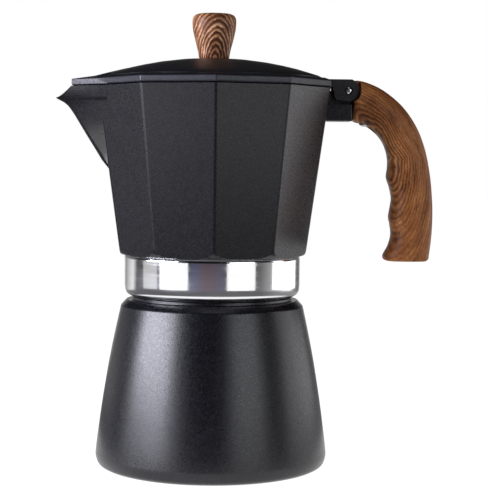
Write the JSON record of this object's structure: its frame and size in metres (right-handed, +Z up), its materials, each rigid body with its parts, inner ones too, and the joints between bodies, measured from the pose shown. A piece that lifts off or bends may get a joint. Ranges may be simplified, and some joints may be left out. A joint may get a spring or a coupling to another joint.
{
  "type": "moka pot",
  "caption": "Stovetop moka pot: black boiler and faceted upper chamber joined by a threaded collar, with coffee funnel, hinged lid, beak spout and wood-look handle and knob",
  "frame": {"origin": "centre of the boiler's flat base, on the surface it stands on", "axes": "+Z up, +X toward the handle, -X toward the spout, the safety valve on the +Y side"},
  "size_m": [0.163, 0.1066, 0.1943],
  "materials": {
    "boiler": "satin black speckled coating",
    "valve_body": "machined brass",
    "valve_washer": "plain washer",
    "valve_nut": "machined brass",
    "valve_stem": "turned steel",
    "valve_spring": "spring wire",
    "valve_cap": "machined brass",
    "funnel": "spun aluminium",
    "funnel_strainer": "perforated sheet",
    "gasket": "moulded silicone",
    "filter_plate": "perforated sheet",
    "upper_chamber": "satin black speckled coating outside",
    "threaded_collar": "mirror polished",
    "hinge_pin": "bright steel",
    "handle": "wood grain print, satin",
    "handle_washer": "plain washer",
    "handle_screw": "pan head, cross drive",
    "lid": "satin black speckled coating",
    "lid_knob": "wood grain print, satin",
    "knob_insert": "threaded insert",
    "knob_screw": "pan head, cross drive",
    "knob_washer": "plain washer"
  },
  "bodies": {
    "boiler_body": {"boiler": "boiler", "valve_body": "valve_body", "valve_washer": "valve_washer", "valve_nut": "valve_nut", "valve_cap": "valve_cap", "valve_spring": "valve_spring"},
    "stem_body": {"valve_stem": "valve_stem"},
    "funnel_body": {"funnel": "funnel", "funnel_strainer": "funnel_strainer"},
    "seal_body": {"gasket": "gasket", "filter_plate": "filter_plate"},
    "upper_body": {"upper_chamber": "upper_chamber", "threaded_collar": "threaded_collar", "hinge_pin": "hinge_pin", "handle": "handle", "handle_washer": "handle_washer", "handle_screw": "handle_screw"},
    "lid_body": {"lid": "lid", "lid_knob": "lid_knob", "knob_insert": "knob_insert", "knob_screw": "knob_screw", "knob_washer": "knob_washer"}
  },
  "joints": [
    {"name": "funnel_lift", "type": "slide", "parent": "boiler_body", "child": "funnel_body", "axis": [0, 0, 1], "range_m": [0, 0.085]},
    {"name": "thread_rise", "type": "slide", "parent": "funnel_body", "child": "seal_body", "axis": [0, 0, 1], "range_m": [0, 0.0091]},
    {"name": "unscrew", "type": "hinge", "parent": "seal_body", "child": "upper_body", "pos_m": [0, 0, 0.08], "axis": [0, 0, 1], "range_deg": [0, 1080]},
    {"name": "lid_hinge", "type": "hinge", "parent": "upper_body", "child": "lid_body", "pos_m": [0.0575, 0, 0.1618], "axis": [0, 1, 0], "range_deg": [0, 95]},
    {"name": "valve_lift", "type": "slide", "parent": "boiler_body", "child": "stem_body", "axis": [0, 1, 0], "range_m": [0, 0.0015], "stiffness_N_per_m": 1000, "springref_m": -0.002, "deforming": ["valve_spring"]}
  ],
  "couplings": [
    {"joint": "thread_rise", "follows": "unscrew", "m_per_rad": 0.00047746}
  ]
}
